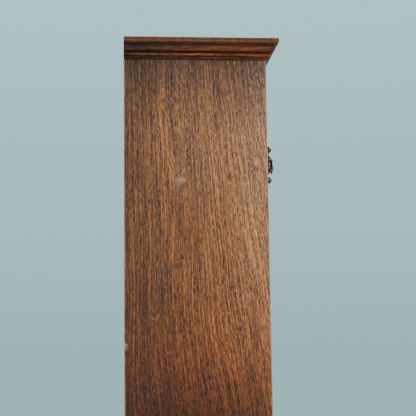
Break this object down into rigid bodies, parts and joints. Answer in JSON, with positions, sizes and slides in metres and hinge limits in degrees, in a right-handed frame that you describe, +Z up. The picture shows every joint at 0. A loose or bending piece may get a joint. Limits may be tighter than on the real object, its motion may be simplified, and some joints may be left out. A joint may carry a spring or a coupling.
{
  "type": "longcase clock",
  "caption": "Tall oak longcase clock with a moulded flat cornice, glazed dial and trunk doors with drop handles, weight-driven movement and long pendulum.",
  "frame": {"origin": "on the floor, under the middle of the bounding box", "axes": "+Z up, front towards -Y, +X to the right as seen from the front"},
  "size_m": [0.504, 0.282, 1.96],
  "materials": {
    "case_oak": "waxed, aged oak",
    "moulding_oak": "waxed, aged oak",
    "inner_oak": "unfinished oak",
    "brass": "lacquered",
    "bronze": "dark patina",
    "steel": "polished",
    "blued_steel": "blued",
    "silvered": "silvered",
    "glass": "clear"
  },
  "bodies": {
    "case": {"side_board_left": "case_oak", "side_board_right": "case_oak", "top_board": "case_oak", "base_front_board": "case_oak", "middle_face_rail": "case_oak", "upper_face_rail": "case_oak", "cornice_front": "moulding_oak", "cornice_left": "moulding_oak", "cornice_right": "moulding_oak", "plinth_front": "moulding_oak", "plinth_left": "moulding_oak", "plinth_right": "moulding_oak", "back_board": "inner_oak", "bottom_board": "inner_oak", "seat_board": "inner_oak", "seat_bearer_left": "inner_oak", "seat_bearer_right": "inner_oak", "dial_door_lower_hinge_case_leaf": "brass", "dial_door_upper_hinge_case_leaf": "brass", "trunk_door_lower_hinge_case_leaf": "brass", "trunk_door_upper_hinge_case_leaf": "brass", "dial_plate": "brass", "chapter_ring": "silvered", "movement_front_plate": "brass", "movement_back_plate": "brass", "back_cock": "brass", "gong_block": "steel", "gong_rod": "brass", "going_line": "steel", "strike_line": "steel"},
    "dial_door": {"dial_door_frame": "case_oak", "dial_door_glass": "glass", "dial_door_handle_plate": "bronze", "dial_door_lower_hinge_door_leaf": "brass", "dial_door_upper_hinge_door_leaf": "brass"},
    "dial_door_drop": {"dial_door_drop": "bronze"},
    "trunk_door": {"trunk_door_frame": "case_oak", "trunk_door_glass": "glass", "trunk_door_handle_plate": "bronze", "trunk_door_lower_hinge_door_leaf": "brass", "trunk_door_upper_hinge_door_leaf": "brass"},
    "trunk_door_drop": {"trunk_door_drop": "bronze"},
    "centre_arbor": {"centre_wheel": "brass", "minute_hand": "blued_steel"},
    "hour_hand": {"hour_hand": "blued_steel"},
    "minute_wheel": {"minute_wheel": "brass"},
    "going_great_wheel": {"going_great_wheel": "brass"},
    "third_wheel": {"third_wheel": "brass"},
    "escape_wheel": {"escape_wheel": "brass"},
    "going_barrel": {"going_barrel": "brass"},
    "strike_barrel": {"strike_barrel": "brass"},
    "strike_great_wheel": {"strike_great_wheel": "brass"},
    "anchor": {"anchor": "steel"},
    "pendulum": {"pendulum_rod": "steel", "pendulum_bob": "brass", "rating_nut": "brass"},
    "going_weight": {"going_weight": "brass"},
    "strike_weight": {"strike_weight": "brass"},
    "hammer": {"hammer": "steel"}
  },
  "joints": [
    {"name": "dial_door_swing", "type": "hinge", "parent": "case", "child": "dial_door", "pos_m": [0.21055, -0.122, 1.734], "axis": [0, 0, 1], "range_deg": [0, 105]},
    {"name": "trunk_door_swing", "type": "hinge", "parent": "case", "child": "trunk_door", "pos_m": [0.21055, -0.122, 1.039], "axis": [0, 0, 1], "range_deg": [0, 105]},
    {"name": "dial_door_drop_lift", "type": "hinge", "parent": "dial_door", "child": "dial_door_drop", "pos_m": [-0.195, -0.1303, 1.743], "axis": [-1, 0, 0], "range_deg": [0, 70]},
    {"name": "trunk_door_drop_lift", "type": "hinge", "parent": "trunk_door", "child": "trunk_door_drop", "pos_m": [-0.195, -0.1303, 1.048], "axis": [-1, 0, 0], "range_deg": [0, 70]},
    {"name": "minute_hand_turn", "type": "hinge", "parent": "case", "child": "centre_arbor", "pos_m": [0, -0.07, 1.734], "axis": [0, 1, 0], "continuous": true},
    {"name": "hour_hand_turn", "type": "hinge", "parent": "case", "child": "hour_hand", "pos_m": [0, -0.07, 1.734], "axis": [0, 1, 0], "continuous": true},
    {"name": "minute_wheel_turn", "type": "hinge", "parent": "case", "child": "minute_wheel", "pos_m": [0, -0.07, 1.704], "axis": [0, 1, 0], "continuous": true},
    {"name": "going_great_wheel_turn", "type": "hinge", "parent": "case", "child": "going_great_wheel", "pos_m": [0.038, -0.07, 1.718], "axis": [0, 1, 0], "continuous": true},
    {"name": "third_wheel_turn", "type": "hinge", "parent": "case", "child": "third_wheel", "pos_m": [0.01, -0.07, 1.76101], "axis": [0, 1, 0], "continuous": true},
    {"name": "escape_wheel_turn", "type": "hinge", "parent": "case", "child": "escape_wheel", "pos_m": [0, -0.07, 1.7863], "axis": [0, 1, 0], "continuous": true},
    {"name": "going_weight_travel", "type": "slide", "parent": "case", "child": "going_weight", "axis": [0, 0, 1], "range_m": [0, 0.95], "deforming": ["going_line"]},
    {"name": "strike_weight_travel", "type": "slide", "parent": "case", "child": "strike_weight", "axis": [0, 0, 1], "range_m": [0, 0.95], "deforming": ["strike_line"]},
    {"name": "going_barrel_turn", "type": "hinge", "parent": "case", "child": "going_barrel", "pos_m": [0.038, -0.07, 1.718], "axis": [0, 1, 0], "range_deg": [0, 3900]},
    {"name": "strike_barrel_turn", "type": "hinge", "parent": "case", "child": "strike_barrel", "pos_m": [-0.038, -0.07, 1.718], "axis": [0, 1, 0], "range_deg": [0, 3900]},
    {"name": "strike_great_wheel_turn", "type": "hinge", "parent": "case", "child": "strike_great_wheel", "pos_m": [-0.038, -0.07, 1.718], "axis": [0, 1, 0], "continuous": true},
    {"name": "pendulum_swing", "type": "hinge", "parent": "case", "child": "pendulum", "pos_m": [0, 0.045, 1.8123], "axis": [0, 1, 0], "range_deg": [-3, 3]},
    {"name": "anchor_rock", "type": "hinge", "parent": "case", "child": "anchor", "pos_m": [0, -0.07, 1.8123], "axis": [0, 1, 0], "range_deg": [-3, 3]},
    {"name": "hammer_lift", "type": "hinge", "parent": "case", "child": "hammer", "pos_m": [-0.06, -0.07, 1.764], "axis": [0, -1, 0], "range_deg": [0, 12]}
  ],
  "couplings": [
    {"joint": "hour_hand_turn", "follows": "minute_hand_turn", "ratio": 0.083333},
    {"joint": "minute_wheel_turn", "follows": "minute_hand_turn", "ratio": -1},
    {"joint": "going_great_wheel_turn", "follows": "minute_hand_turn", "ratio": -0.0625},
    {"joint": "third_wheel_turn", "follows": "minute_hand_turn", "ratio": -8},
    {"joint": "escape_wheel_turn", "follows": "minute_hand_turn", "ratio": 60},
    {"joint": "going_barrel_turn", "follows": "going_weight_travel", "rad_per_m": 71.174},
    {"joint": "strike_barrel_turn", "follows": "strike_weight_travel", "rad_per_m": 71.174},
    {"joint": "anchor_rock", "follows": "pendulum_swing", "ratio": 1}
  ]
}
